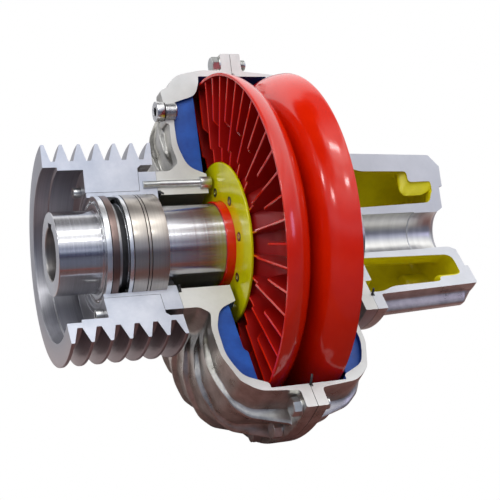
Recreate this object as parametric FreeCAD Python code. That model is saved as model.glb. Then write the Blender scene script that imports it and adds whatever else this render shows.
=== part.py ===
import FreeCAD, Part
import math
import os

# Sectioned double-circuit fluid coupling with a grooved pulley and a delay chamber.
# The axis is X, with the shaft's front end at x = 0; Z is up; sizes are in millimetres.
# Angles about the axis start at -Y, the side that the cut-away opens to, and rise to +Z.

V = FreeCAD.Vector
ORIGIN = V(0, 0, 0)
AXIS = V(1, 0, 0)
TOP = 90

# The cut-away: outer pieces are kept from the upper cut round the back to the lower cut
upper_cut = 109
lower_cut = 321

# Fits
running_gap = 0.4
seal_gap = 0.3
hole_clearance = 0.25

# Hollow shaft
bore_radius = 27.5
seat_radius = 45
nose_step = 1.8
seat_from = 44.5
keyway_width = 16
keyway_depth = 4.3
shaft_chamfer = 1.5
shaft_end_gap = 1.5

# Bearings, thin section, 90 mm bore and 115 mm outside diameter
bearing_section = 12.5
race_share = 0.352
bearing_start_gap = 0.5
front_bearing_width = 13
double_bearing_width = 41
rear_bearing_width = 13
spacer_length = 10.5
spacer_step = 2
cage_inset = 1.5
front_groove_at = 6
double_groove_at = 2.8
creep_groove_width = 1.4
oil_groove_width = 2.6
race_groove_depth = 1.3
circlip_width = 2.3
circlip_depth = 4
rear_seal_length = 4

# Bearing carrier
carrier_start_gap = 1.5
carrier_wall = 5
carrier_flange_thickness = 19.7
carrier_flange_width = 21
flange_over_bearing = 8.2
lip_height = 7.5
lip_seal_inset = 2
screw_row_height = 6.8
carrier_screw_reach = 16
o_ring_width = 3.3
o_ring_height = 4.4

# V-belt pulley
groove_count = 6
groove_pitch = 19
first_groove = 11.5
groove_depth = 18.2
groove_bottom_width = 5
groove_angle = 17
groove_floor_wall = 6.3
pulley_overhang = 16.7
recess_clearance = 7.5
recess_step_height = 3.4
recess_step_depth = 15.1
web_thickness = 59
pulley_screw_row_height = 10.1
pulley_screw_reach = 13.7

# Runner, the double turbine wheel
hub_to_runner = 9.4
runner_hub_depth = 34.9
bowl_radius = 39
bowl_centre_radius = 144.5
bowl_rim_depth = 2.5
runner_wall = 3.5
runner_hub_slope = 18
collar_height = 2
collar_length = 12.4
web_drop = 28.5
long_blade_count = 24
runner_blade_thickness = 2.6
first_long_blade = 0.5
long_blade_drop = 39.5
short_blade_drop = 10.6
blade_step = 6

# Throttle plate on the runner's front
plate_margin = 5.35
plate_thickness = 3
runner_screw_count = 8
runner_screw_height = 12
first_runner_screw = 16
runner_screw_reach = 23.5
runner_head_height = 2.5

# Main casing, two shells bolted at a flange
hub_length = 57.2
casing_wall = 5.3
pump_depth = 36
hub_shoulder_length = 16
rim_clearance = 6.9
step_before_rim = 1.9
bolt_row_height = 16.1
bolt_margin = 10.7
front_flange_thickness = 12
rear_flange_thickness = 12.7
flange_seal_width = 3
flange_seal_height = 4
bolt_count = 21
first_bolt = 111.3
bolt_radius = 6
bolt_head_radius = 9.6
bolt_head_height = 9.5
bolt_end = 6.4
rib_thickness = 5
rib_height = 6

# Filler plug in its boss
boss_height = 9.5
boss_half_width = 13
boss_angle = 8
plug_above_centre = 5.5
plug_length = 12.7
plug_radius = 9.1
plug_head_radius = 11
plug_head_height = 8.5
plug_socket_radius = 6
plug_ring_thickness = 2

# Bladed casing, the pump
pump_blade_count = 36
pump_blade_thickness = 2.5
pump_blade_gap = 8.5
pump_blade_step = 4
blade_from_cut = 1

# Screws
small_screw_radius = 4
small_head_radius = 6.8
low_head_radius = 5.8
small_head_height = 8
tall_head_height = 12.3
head_inset = 9.2
tip_gap = 1

# Rear hub and delay chamber
rear_hub_reach = 112
rear_hub_width = 22.5
rear_flange_length = 14.5
chamber_length = 138
chamber_flange_thickness = 12.3
barrel_drop = 20
barrel_taper = 5.4
chamber_rib_thickness = 7
chamber_rib_height = 12
chamber_rib_pitch = 49
rib_end_chamfer = 13
chamber_wall = 9.7
cavity_taper = 2.9
cavity_end_wall = 14.5
front_step = 6
tube_wall = 10
tube_bore_radius = 24
bore_step = 0.8
bore_step_length = 43.5
disc_height = 32
disc_thickness = 8
end_recess_radius = 54.5
end_recess_depth = 4.2
bore_mouth = 4
boss_radius = 12
boss_length = 30
boss_pitch = 68
chamber_ring_margin = 1.7
chamber_screw_margin = 9
chamber_screw_reach = 12.5
nozzle_radius = 3
nozzle_row_height = 11.5
nozzle_count = 4
first_nozzle = 150

# Values that follow from the sizes above, along the axis
kept_angle = lower_cut - upper_cut
front_bearing_from = seat_from + bearing_start_gap
front_bearing_to = front_bearing_from + front_bearing_width
double_from = front_bearing_to + spacer_length
double_to = double_from + double_bearing_width
web_to = double_to - flange_over_bearing
web_from = web_to - web_thickness
pulley_width = web_to + pulley_overhang
carrier_joint = web_to + carrier_flange_thickness
hub_face = carrier_joint + hub_length
carrier_head_seat = hub_face - head_inset
runner_hub_face = hub_face + hub_to_runner
circuit_middle = runner_hub_face + runner_hub_depth
runner_rim = circuit_middle - bowl_radius
bowl_centre_x = runner_rim - bowl_rim_depth
casing_inner_face = runner_rim - pump_depth
flange_from = circuit_middle - front_flange_thickness
flange_to = circuit_middle + rear_flange_thickness
rear_hub_joint = circuit_middle + rear_hub_reach
rear_bearing_to = rear_hub_joint - rear_seal_length
rear_bearing_from = rear_bearing_to - rear_bearing_width
chamber_end = rear_hub_joint + chamber_length
cavity_to = chamber_end - cavity_end_wall
wall_step = runner_rim - step_before_rim
pump_blade_edge = runner_rim - pump_blade_gap

# Values that follow, from the axis outward
bearing_outer_radius = seat_radius + bearing_section
race_thickness = bearing_section * race_share
carrier_lip_radius = seat_radius + lip_height
sleeve_radius = bearing_outer_radius + carrier_wall
carrier_screw_circle = sleeve_radius + screw_row_height
pulley_screw_circle = sleeve_radius + pulley_screw_row_height
hub_radius = sleeve_radius + carrier_flange_width
recess_radius = hub_radius + recess_clearance
groove_bottom_radius = recess_radius + groove_floor_wall
crest_radius = groove_bottom_radius + groove_depth
collar_radius = seat_radius + collar_height
runner_screw_circle = seat_radius + runner_screw_height
plate_radius = hub_radius + plate_margin
casing_bore_radius = bowl_centre_radius + bowl_radius + rim_clearance
bolt_circle_radius = casing_bore_radius + bolt_row_height
flange_radius = bolt_circle_radius + bolt_margin
plug_circle = bowl_centre_radius + plug_above_centre
plug_seat = casing_inner_face - boss_height
plug_end = plug_seat + plug_length
rear_hub_radius = hub_radius + rear_hub_width
barrel_front_radius = rear_hub_radius - barrel_drop
barrel_rear_radius = barrel_front_radius - barrel_taper
runner_hub_radius = hub_radius - runner_wall
cavity_front_radius = barrel_front_radius - chamber_wall
cavity_rear_radius = cavity_front_radius - cavity_taper
tube_radius = tube_bore_radius + tube_wall
chamber_o_ring_radius = cavity_front_radius + front_step + chamber_ring_margin
chamber_screw_circle = rear_hub_radius - chamber_screw_margin
nozzle_circle = sleeve_radius + nozzle_row_height


def ring_angles(count, first):
    """Angles of equally spaced copies, one full turn."""
    return [first + 360 * k / count for k in range(count)]


def stepped_angles(pitch):
    """Angles from the upper cut to the lower one, a pitch apart."""
    return [upper_cut + pitch * k for k in range(int(kept_angle / pitch) + 1)]


def kept(angles, margin):
    """Those angles that lie in the kept sector, at least margin degrees inside its cuts."""
    turned = [(angle - upper_cut) % 360 for angle in angles]
    return [upper_cut + a for a in sorted(turned) if margin <= a <= kept_angle - margin]


def outline(steps):
    """Face in the XZ plane. A step is (x, r), or (x, r of an arc's middle, x, r of its end)."""
    edges = []
    here = V(steps[0][-2], 0, steps[0][-1])
    for step in list(steps[1:]) + [steps[0][-2:]]:
        there = V(step[-2], 0, step[-1])
        if len(step) == 4:
            edges.append(Part.Arc(here, V(step[0], 0, step[1]), there).toShape())
        elif there.distanceToPoint(here) > 1e-6:
            edges.append(Part.makeLine(here, there))
        here = there
    return Part.Face(Part.Wire(edges))


def ring(x_from, x_to, inner, outer):
    """Outline of a plain ring."""
    return [(x_from, inner), (x_from, outer), (x_to, outer), (x_to, inner)]


def turned(steps):
    """Full body of revolution about the coupling's axis."""
    return outline(steps).revolve(ORIGIN, AXIS, 360)


def opened(steps):
    """Body of revolution that is kept only between the two cuts."""
    face = outline(steps)
    face.rotate(ORIGIN, AXIS, TOP - lower_cut)
    return face.revolve(ORIGIN, AXIS, kept_angle)


def at_angle(shape, angle):
    """Copy of a piece that was made at the top, turned to an angle about the axis."""
    copy = shape.copy()
    copy.rotate(ORIGIN, AXIS, TOP - angle)
    return copy


def around(shape, angles):
    """One copy of a piece at each angle."""
    return [at_angle(shape, angle) for angle in angles]


def rod(x_from, x_to, radius, circle=0):
    """Round bar along the axis, at the top of a pitch circle."""
    return Part.makeCylinder(radius, x_to - x_from, V(x_from, 0, circle), AXIS)


def plate(steps, thickness):
    """Flat plate that stands on a radial plane at the top, such as a rib or a blade."""
    face = outline(steps)
    face.translate(V(0, -thickness / 2, 0))
    return face.extrude(V(0, thickness, 0))


def hexagon(x_from, height, radius, circle):
    """Hexagon head at the top of a pitch circle, with its corners on the radius."""
    corners = [V(x_from, radius * math.cos(math.radians(60 * k)),
                 circle + radius * math.sin(math.radians(60 * k))) for k in range(7)]
    return Part.Face(Part.makePolygon(corners)).extrude(V(height, 0, 0))


def mirrored(shape):
    """Piece mirrored to the other side of the circuit's middle plane."""
    return shape.mirror(V(circuit_middle, 0, 0), AXIS)


def save(name, shapes):
    """Writes one node; a node of several solids is a compound."""
    shape = shapes if isinstance(shapes, Part.Shape) else Part.makeCompound(shapes)
    shape.exportStep("parts/" + name + ".step")


# Shaft and bearings

def hollow_shaft():
    """Polished hollow shaft with a keyway along the top of its bore."""
    nose = seat_radius - nose_step
    length = rear_hub_joint - shaft_end_gap
    body = turned([(0, bore_radius), (0, nose - shaft_chamfer), (shaft_chamfer, nose),
                   (seat_from, nose), (seat_from, seat_radius), (length, seat_radius),
                   (length, bore_radius)])
    keyway = Part.makeBox(length, keyway_width, keyway_depth + bore_radius,
                          V(0, -keyway_width / 2, 0))
    return body.cut(keyway)


def outer_race(x_from, x_to, grooves):
    """Outline of an outer race; a groove is its start and its width."""
    inner = bearing_outer_radius - race_thickness
    steps = [(x_from, inner), (x_from, bearing_outer_radius)]
    for start, width in grooves:
        steps += [(start, bearing_outer_radius), (start, bearing_outer_radius - race_groove_depth),
                  (start + width, bearing_outer_radius - race_groove_depth),
                  (start + width, bearing_outer_radius)]
    return steps + [(x_to, bearing_outer_radius), (x_to, inner)]


def bearing_places():
    """Start and end of each bearing along the shaft: front, double-row and rear."""
    return [(front_bearing_from, front_bearing_to), (double_from, double_to),
            (rear_bearing_from, rear_bearing_to)]


def bearing_outer_rings():
    """Outer races; two have a groove for an anti-creep ring, one an oil groove too."""
    front, double, rear = bearing_places()
    creep = creep_groove_width
    middle = (double[0] + double[1] - oil_groove_width) / 2
    double_grooves = [(double[0] + double_groove_at, creep), (middle, oil_groove_width)]
    return [turned(outer_race(*front, [(front[0] + front_groove_at, creep)])),
            turned(outer_race(*double, double_grooves)), turned(outer_race(*rear, []))]


def bearing_inner_rings():
    """Inner races, pressed on the shaft."""
    return [turned(ring(a, b, seat_radius, seat_radius + race_thickness))
            for a, b in bearing_places()]


def bearing_cages():
    """Cages that carry the rolling elements between the races."""
    inner = seat_radius + race_thickness + running_gap
    outer = bearing_outer_radius - race_thickness - running_gap
    return [turned(ring(a + cage_inset, b - cage_inset, inner, outer))
            for a, b in bearing_places()]


def spacer_ring():
    """Ring on the shaft between the front and the double-row bearing."""
    outer = seat_radius + race_thickness + spacer_step
    return turned(ring(front_bearing_to, double_from, seat_radius, outer))


def bearing_circlip():
    """Circlip in the carrier's bore, against the double-row bearing's outer race."""
    return opened(ring(double_from - circlip_width, double_from,
                       bearing_outer_radius - circlip_depth, bearing_outer_radius))


# Bearing carrier and pulley

def screw(x_tip, x_under_head, head_height, radius, head_radius, circle):
    """Socket head screw along the axis; the head lies beyond x_under_head, away from the tip."""
    away = 1 if x_under_head > x_tip else -1
    x_top = x_under_head + away * head_height
    shank = rod(min(x_tip, x_under_head), max(x_tip, x_under_head), radius, circle)
    head = rod(min(x_under_head, x_top), max(x_under_head, x_top), head_radius, circle)
    return shank.fuse(head)


def pulley_screw_angles():
    """Four screws, turned clear of the carrier screws."""
    return kept(ring_angles(4, 128), 5)


def carrier_screw_angles():
    """Eight screws; the first one lies whole in the upper cut."""
    return kept(ring_angles(8, upper_cut), 0)


def v_belt_pulley():
    """Pulley with V grooves, a hub web on the carrier's sleeve and a recess at each end."""
    steps = [(0, recess_radius), (0, crest_radius)]
    half_bottom = groove_bottom_width / 2
    flank = groove_depth * math.tan(math.radians(groove_angle))
    for k in range(groove_count):
        middle = first_groove + k * groove_pitch
        steps += [(middle - half_bottom - flank, crest_radius),
                  (middle - half_bottom, groove_bottom_radius),
                  (middle + half_bottom, groove_bottom_radius),
                  (middle + half_bottom + flank, crest_radius)]
    step_radius = recess_radius - recess_step_height
    steps += [(pulley_width, crest_radius), (pulley_width, recess_radius),
              (web_to + recess_step_height, recess_radius), (web_to, step_radius),
              (web_to, sleeve_radius), (web_from, sleeve_radius), (web_from, step_radius),
              (recess_step_depth, step_radius), (recess_step_depth, recess_radius)]
    hole = rod(web_from, web_to, small_screw_radius + hole_clearance, pulley_screw_circle)
    return opened(steps).cut(around(hole, pulley_screw_angles()))


def pulley_screws():
    """Screws that clamp the pulley's web to the carrier's flange."""
    one = screw(web_to + pulley_screw_reach, web_from, small_head_height, small_screw_radius,
                low_head_radius, pulley_screw_circle)
    return around(one, pulley_screw_angles())


def bearing_carrier():
    """Sleeve round the bearings, with the flange that joins pulley and casing."""
    start = seat_from - carrier_start_gap
    body = opened([(start, bearing_outer_radius), (start, sleeve_radius),
                   (web_to, sleeve_radius), (web_to, hub_radius), (carrier_joint, hub_radius),
                   (carrier_joint, carrier_lip_radius), (double_to, carrier_lip_radius),
                   (double_to, bearing_outer_radius)])
    radius = small_screw_radius + hole_clearance
    pulley_hole = rod(web_to, web_to + pulley_screw_reach + tip_gap, radius, pulley_screw_circle)
    casing_hole = rod(carrier_joint - carrier_screw_reach - tip_gap, carrier_joint, radius,
                      carrier_screw_circle)
    holes = around(pulley_hole, pulley_screw_angles())
    return body.cut(holes + around(casing_hole, carrier_screw_angles()))


def front_shaft_seal():
    """Seal between the carrier's lip and the shaft."""
    return opened(ring(double_to + lip_seal_inset, carrier_joint - lip_seal_inset,
                       seat_radius + seal_gap, carrier_lip_radius))


def carrier_screws():
    """Screws from inside the front shell's hub into the carrier's flange."""
    one = screw(carrier_joint - carrier_screw_reach, carrier_head_seat, tall_head_height,
                small_screw_radius, small_head_radius, carrier_screw_circle)
    return around(one, carrier_screw_angles())


def carrier_o_ring():
    """Seal in the front shell's joint with the carrier."""
    return opened(ring(carrier_joint, carrier_joint + o_ring_width, sleeve_radius - o_ring_height,
                       sleeve_radius))


# Main casing

def flange_angles():
    """Bolts of the main flange."""
    return kept(ring_angles(bolt_count, first_bolt), 1)


def rib_angles():
    """Cooling ribs, midway between the flange bolts."""
    return kept(ring_angles(bolt_count, first_bolt + 180 / bolt_count), 2)


def shell_wall():
    """Outer and inner line of the cast wall between hub and flange, front side."""
    face = casing_inner_face
    wall = casing_wall
    bore = casing_bore_radius
    outer = [(carrier_joint + hub_shoulder_length, hub_radius), (face, hub_radius + 1.8 * wall),
             (face - wall, hub_radius + 5.3 * wall), (face - wall, bowl_centre_radius + 0.3 * wall),
             (face + wall, bore - 2.3 * wall), (runner_rim - 2.3 * wall, bore + 0.4 * wall),
             (flange_from, bore + 1.2 * wall)]
    inner = [(circuit_middle, bore), (wall_step, bore), (wall_step, bore - 1.1 * wall),
             (face + 2 * wall, bore - 3.3 * wall), (face, bowl_centre_radius),
             (face + 0.2 * wall, hub_radius + 5.4 * wall),
             (face + 1.9 * wall, hub_radius + 0.85 * wall), (hub_face, hub_radius - 0.85 * wall)]
    return outer, inner


def shell(hub_steps):
    """Half casing up to the joint at the circuit's middle; hub_steps close it at the bore."""
    outer, inner = shell_wall()
    flange = [(flange_from, flange_radius), (circuit_middle, flange_radius)]
    return opened(outer + flange + inner + hub_steps)


def casing_rib():
    """Fin that rises from the hub's shoulder, over the wall, to the flange."""
    face = casing_inner_face - casing_wall
    high = rib_height
    bore = casing_bore_radius
    crest = [(face + 0.7 * high, hub_radius + 2.4 * high), (face - high / 2, hub_radius + 4.1 * high),
             (face - high, bowl_centre_radius - 1.4 * high),
             (face, bowl_centre_radius + 3.25 * high), (face + 2 * high, bore - 0.6 * high),
             (flange_from - 7 * high, bore + 1.6 * high), (flange_from, bore + 3.4 * high)]
    root = [(flange_from, bore + 0.6 * high), (face + 4.5 * high, bore),
            (face + 1.7 * high, bore - 3 * high), (face + high / 3, bowl_centre_radius),
            (face + high / 3, hub_radius + 4.1 * high)]
    return plate(crest + root, rib_thickness)


def pump_blade(stepped):
    """Radial blade of the casing's bladed half, rooted inside the wall."""
    face = casing_inner_face
    wall = casing_wall
    bore = casing_bore_radius
    edge = pump_blade_edge
    foot = hub_radius - wall
    low = edge - pump_blade_step
    free = [(edge, foot)]
    if stepped:
        free = [(low, foot), (low, bowl_centre_radius - 2 * pump_blade_step),
                (edge, bowl_centre_radius - pump_blade_step)]
    root = [(edge, bore - 1.4 * wall), (face + 1.6 * wall, bore - 3 * wall),
            (face - 0.3 * wall, bowl_centre_radius), (face - 0.1 * wall, hub_radius + 5.2 * wall),
            (face + 1.6 * wall, hub_radius + 0.6 * wall)]
    return plate(free + root, pump_blade_thickness)


def pump_blades():
    """Blades of one casing half that lie in the kept sector."""
    first = upper_cut + blade_from_cut
    angles = kept(ring_angles(pump_blade_count, first), blade_from_cut / 2)
    return around(pump_blade(False), angles[::2]) + around(pump_blade(True), angles[1::2])


def flange_holes(x_from, x_to):
    """Bolt holes through one half of the flange."""
    hole = rod(x_from, x_to, bolt_radius + hole_clearance, bolt_circle_radius)
    return around(hole, flange_angles())


def front_casing():
    """Front shell: carrier hub, bladed wall, ribs, filler boss and half of the flange."""
    groove = carrier_joint + o_ring_width
    hub = [(hub_face, bearing_outer_radius), (groove, bearing_outer_radius),
           (groove, sleeve_radius), (carrier_joint, sleeve_radius), (carrier_joint, hub_radius)]
    body = shell(hub).fuse(around(casing_rib(), rib_angles()) + pump_blades() + [filler_boss()])
    radius = small_screw_radius + hole_clearance
    shank_hole = rod(carrier_joint, carrier_head_seat, radius, carrier_screw_circle)
    head_hole = rod(carrier_head_seat, hub_face, small_head_radius + hole_clearance,
                    carrier_screw_circle)
    holes = around(shank_hole, carrier_screw_angles()) + around(head_hole, carrier_screw_angles())
    plug_hole = at_angle(rod(plug_seat, plug_end, plug_radius, plug_circle), upper_cut)
    return body.cut(holes + [plug_hole] + flange_holes(flange_from, circuit_middle))


def filler_boss():
    """Solid block of the casting round the filler plug, cut open by the upper cut."""
    face = casing_inner_face
    wall = casing_wall
    bore = casing_bore_radius
    outside = [(plug_seat, plug_circle - boss_half_width), (plug_seat, plug_circle + boss_half_width),
               (plug_seat - 0.45 * wall, bore - 3 * wall), (plug_seat + 1.2 * wall, bore - 2.4 * wall),
               (face + 0.6 * wall, bore - 0.7 * wall), (face + 2.2 * wall, bore + 0.4 * wall),
               (runner_rim, bore + 1.2 * wall)]
    inside = [(wall_step, bore), (wall_step, bore - 1.1 * wall),
              (runner_rim - 1.3 * wall, bore - 4.1 * wall),
              (plug_end, plug_circle + 0.8 * boss_half_width),
              (plug_end, plug_circle - boss_half_width)]
    block = outline(outside + inside)
    block.rotate(ORIGIN, AXIS, TOP - upper_cut - boss_angle)
    return block.revolve(ORIGIN, AXIS, boss_angle)


def rear_casing():
    """Rear shell: mirror of the front wall, with the rear bearing's seat and chamber flange."""
    flange_start = rear_hub_joint - rear_flange_length
    hub_mirror = [(rear_bearing_from, carrier_lip_radius),
                  (rear_bearing_from, bearing_outer_radius),
                  (rear_hub_joint, bearing_outer_radius), (rear_hub_joint, rear_hub_radius),
                  (flange_start, rear_hub_radius), (flange_start, hub_radius)]
    hub = [(hub_face, carrier_lip_radius)]
    hub += [(2 * circuit_middle - x, r) for x, r in hub_mirror]
    body = mirrored(shell(hub).fuse(around(casing_rib(), rib_angles()) + pump_blades()))
    screw_hole = rod(rear_hub_joint - chamber_screw_reach - tip_gap, rear_hub_joint,
                     small_screw_radius + hole_clearance, chamber_screw_circle)
    nozzle = rod(2 * circuit_middle - hub_face, rear_hub_joint, nozzle_radius, nozzle_circle)
    return body.cut([flange_seal()] + flange_holes(circuit_middle, flange_to)
                    + around(screw_hole, chamber_screw_angles())
                    + around(nozzle, kept(ring_angles(nozzle_count, first_nozzle), 5)))


def flange_bolts():
    """Hexagon bolts of the main flange; their ends stand out of the rear flange."""
    shank = rod(flange_from, flange_to + bolt_end, bolt_radius, bolt_circle_radius)
    head = hexagon(flange_from - bolt_head_height, bolt_head_height, bolt_head_radius,
                   bolt_circle_radius)
    return around(shank.fuse(head), flange_angles())


def flange_seal():
    """Ring in the rear shell's groove at the flange joint."""
    return opened(ring(circuit_middle, circuit_middle + flange_seal_width, casing_bore_radius,
                       casing_bore_radius + flange_seal_height))


def filler_plug():
    """Filler plug, whole, lying in the boss at the upper cut."""
    under_head = plug_seat - plug_ring_thickness
    top = under_head - plug_head_height
    head = rod(top, under_head, plug_head_radius, plug_circle)
    socket = hexagon(top, plug_head_height / 2, plug_socket_radius, plug_circle)
    body = rod(under_head, plug_end, plug_radius, plug_circle)
    return at_angle(head.cut(socket).fuse(body), upper_cut)


def filler_plug_ring():
    """Sealing ring under the plug's head."""
    outer = (plug_radius + plug_head_radius) / 2
    seal = rod(plug_seat - plug_ring_thickness, plug_seat, outer, plug_circle)
    return at_angle(seal.cut(rod(0, plug_end, plug_radius, plug_circle)), upper_cut)


# Runner

def bowl_point(radius, angle):
    """Point of a bowl's section about the circuit's centre, angle from the bowl's bottom."""
    turn = math.radians(angle)
    return (bowl_centre_x + radius * math.cos(turn), bowl_centre_radius + radius * math.sin(turn))


def rim_angle(radius):
    """Angle at which a bowl of this radius reaches the rim's plane."""
    return math.degrees(math.acos((runner_rim - bowl_centre_x) / radius))


def bowl_inside(radius):
    """Inner line of a bowl from its rim to the web, in straight steps as the pattern has."""
    rim = rim_angle(radius)
    return ([bowl_point(radius, angle) for angle in (rim, rim * 0.62, rim * 0.28)]
            + [(bowl_centre_x + radius, bowl_centre_radius - runner_wall)])


def runner_section(with_collar):
    """Section of one wheel: hub on the shaft, back web and bowl with an open rim."""
    rim = rim_angle(bowl_radius)
    nose = runner_hub_face - collar_length if with_collar else runner_hub_face
    steps = [(nose, seat_radius), (circuit_middle, seat_radius),
             (circuit_middle, bowl_centre_radius - web_drop),
             bowl_point(bowl_radius, 0),
             bowl_point(bowl_radius, rim / 2) + bowl_point(bowl_radius, rim)]
    steps += bowl_inside(bowl_radius - runner_wall)
    steps += [(runner_hub_face + runner_hub_slope, runner_hub_radius + runner_hub_slope),
              (runner_hub_face, runner_hub_radius)]
    return steps + ([(runner_hub_face, collar_radius), (nose, collar_radius)]
                    if with_collar else [])


def runner_blade(long_one):
    """Radial blade rooted in the bowl; a short one ends slanted, a long one behind the plate."""
    root = bowl_inside(bowl_radius - runner_wall / 2)
    if long_one:
        behind_plate = runner_hub_face + running_gap
        over_plate = plate_radius + running_gap
        inner = bowl_centre_radius - long_blade_drop
        in_hub = runner_hub_slope - running_gap
        free = [(behind_plate + runner_hub_slope, runner_hub_radius + in_hub),
                (behind_plate, runner_hub_radius - running_gap), (behind_plate, over_plate),
                (runner_rim + blade_step / 2, over_plate),
                (runner_rim + blade_step / 2, inner), (runner_rim, inner)]
    else:
        inner = bowl_centre_radius - short_blade_drop
        free = [(bowl_centre_x + bowl_radius - runner_wall / 2, inner - 2 * blade_step),
                (runner_rim + blade_step, inner - blade_step), (runner_rim, inner)]
    return plate(root + free, runner_blade_thickness)


def runner_screw_angles():
    """Screws that clamp the plate and both wheels."""
    return ring_angles(runner_screw_count, first_runner_screw)


def runner_half(with_collar):
    """One bladed wheel, long and short blades by turns."""
    pitch = 360 / long_blade_count
    long_angles = ring_angles(long_blade_count, first_long_blade)
    short_angles = ring_angles(long_blade_count, first_long_blade + pitch / 2)
    blades = around(runner_blade(True), long_angles) + around(runner_blade(False), short_angles)
    return turned(runner_section(with_collar)).fuse(blades)


def front_runner():
    """Front wheel with the collar that the plate is centred on."""
    hole = rod(runner_hub_face, circuit_middle, small_screw_radius + hole_clearance,
               runner_screw_circle)
    return runner_half(True).cut(around(hole, runner_screw_angles()))


def rear_runner():
    """Rear wheel, the front one's mirror without the collar."""
    hole = rod(circuit_middle, circuit_middle + runner_screw_reach + tip_gap,
               small_screw_radius + hole_clearance, runner_screw_circle)
    return mirrored(runner_half(False)).cut(around(hole, runner_screw_angles()))


def throttle_plate():
    """Disc on the runner's face that narrows the circuit's inner edge."""
    body = turned(ring(runner_hub_face - plate_thickness, runner_hub_face, collar_radius,
                       plate_radius))
    hole = rod(runner_hub_face - plate_thickness, runner_hub_face,
               small_screw_radius + hole_clearance, runner_screw_circle)
    return body.cut(around(hole, runner_screw_angles()))


def runner_screws():
    """Long screws through the plate and the front wheel into the rear wheel."""
    one = screw(circuit_middle + runner_screw_reach, runner_hub_face - plate_thickness,
                runner_head_height, small_screw_radius, low_head_radius, runner_screw_circle)
    return around(one, runner_screw_angles())


# Delay chamber

def chamber_screw_angles():
    """Screws of the chamber's flange, midway between its ribs."""
    ribs = stepped_angles(chamber_rib_pitch)
    return [angle + chamber_rib_pitch / 2 for angle in ribs[:-1]]


def chamber_section():
    """Section of the chamber: barrel, end wall, central tube and the tube's front disc."""
    joint = rear_hub_joint
    end = chamber_end
    flange = joint + chamber_flange_thickness
    step = front_step
    recess = end - end_recess_depth
    disc_radius = tube_radius + disc_height
    rear_bore = tube_bore_radius + bore_step
    outside = [(joint, cavity_front_radius + step), (joint, rear_hub_radius),
               (flange, rear_hub_radius), (flange, barrel_front_radius),
               (end, barrel_rear_radius), (end, end_recess_radius), (recess, end_recess_radius)]
    bore = [(recess, rear_bore + bore_mouth), (end - 3 * bore_mouth, rear_bore),
            (end - bore_step_length, rear_bore), (end - bore_step_length, tube_bore_radius),
            (joint, tube_bore_radius)]
    cavity = [(joint, disc_radius), (joint + disc_thickness, disc_radius),
              (joint + disc_thickness, tube_radius), (cavity_to - step, tube_radius + step / 3),
              (cavity_to, tube_radius + step), (cavity_to, cavity_rear_radius - step),
              (cavity_to - step, cavity_rear_radius), (flange + 3 * step, cavity_front_radius),
              (flange + step, cavity_front_radius + step)]
    return outside + bore + cavity


def chamber_rib():
    """Outside rib of the chamber, from its flange to the chamfered end."""
    start = rear_hub_joint + chamber_flange_thickness
    top = barrel_front_radius + chamber_rib_height
    end = chamber_end - chamber_rib_thickness / 4
    return plate([(start, barrel_front_radius - chamber_rib_thickness / 2), (start, top),
                  (chamber_end - rib_end_chamfer, top - 0.9 * barrel_taper),
                  (end, barrel_rear_radius - chamber_rib_thickness / 7),
                  (end, barrel_rear_radius - chamber_rib_thickness / 2)], chamber_rib_thickness)


def inner_boss():
    """Boss inside the barrel at the end wall, for a plug."""
    return rod(cavity_to - boss_length, cavity_to + boss_radius / 6, boss_radius,
               cavity_rear_radius)


def delay_chamber():
    """Chamber cast in one piece with its central tube, ribs and bosses."""
    ribs = around(chamber_rib(), stepped_angles(chamber_rib_pitch))
    bosses = around(inner_boss(), stepped_angles(boss_pitch))
    sector = opened(ring(rear_hub_joint, chamber_end, tube_radius, flange_radius))
    added = [piece.common(sector) for piece in ribs + bosses]
    body = opened(chamber_section()).fuse([piece for piece in added if piece.Volume > 1])
    hole = rod(rear_hub_joint, rear_hub_joint + chamber_flange_thickness,
               small_screw_radius + hole_clearance, chamber_screw_circle)
    return body.cut(around(hole, chamber_screw_angles()) + [chamber_o_ring()])


def chamber_o_ring():
    """Seal in the chamber's joint with the rear shell."""
    return opened(ring(rear_hub_joint, rear_hub_joint + o_ring_width, chamber_o_ring_radius,
                       chamber_o_ring_radius + o_ring_height))


def chamber_screws():
    """Screws through the chamber's flange into the rear shell's hub."""
    one = screw(rear_hub_joint - chamber_screw_reach, rear_hub_joint + chamber_flange_thickness,
                small_head_height, small_screw_radius, small_head_radius, chamber_screw_circle)
    return around(one, chamber_screw_angles())


def rear_shaft_seal():
    """Seal on the shaft between the rear bearing and the delay chamber."""
    return opened(ring(rear_bearing_to + running_gap, rear_hub_joint, seat_radius + seal_gap,
                       bearing_outer_radius))


os.makedirs("parts", exist_ok=True)
nodes = [hollow_shaft, bearing_outer_rings, bearing_inner_rings, bearing_cages, spacer_ring,
         bearing_circlip, v_belt_pulley, pulley_screws, bearing_carrier, front_shaft_seal,
         carrier_screws, carrier_o_ring, front_casing, rear_casing, flange_bolts, flange_seal,
         filler_plug, filler_plug_ring, front_runner, rear_runner, throttle_plate, runner_screws,
         delay_chamber, chamber_o_ring, chamber_screws, rear_shaft_seal]
for node in nodes:
    save(node.__name__, node())
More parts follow.
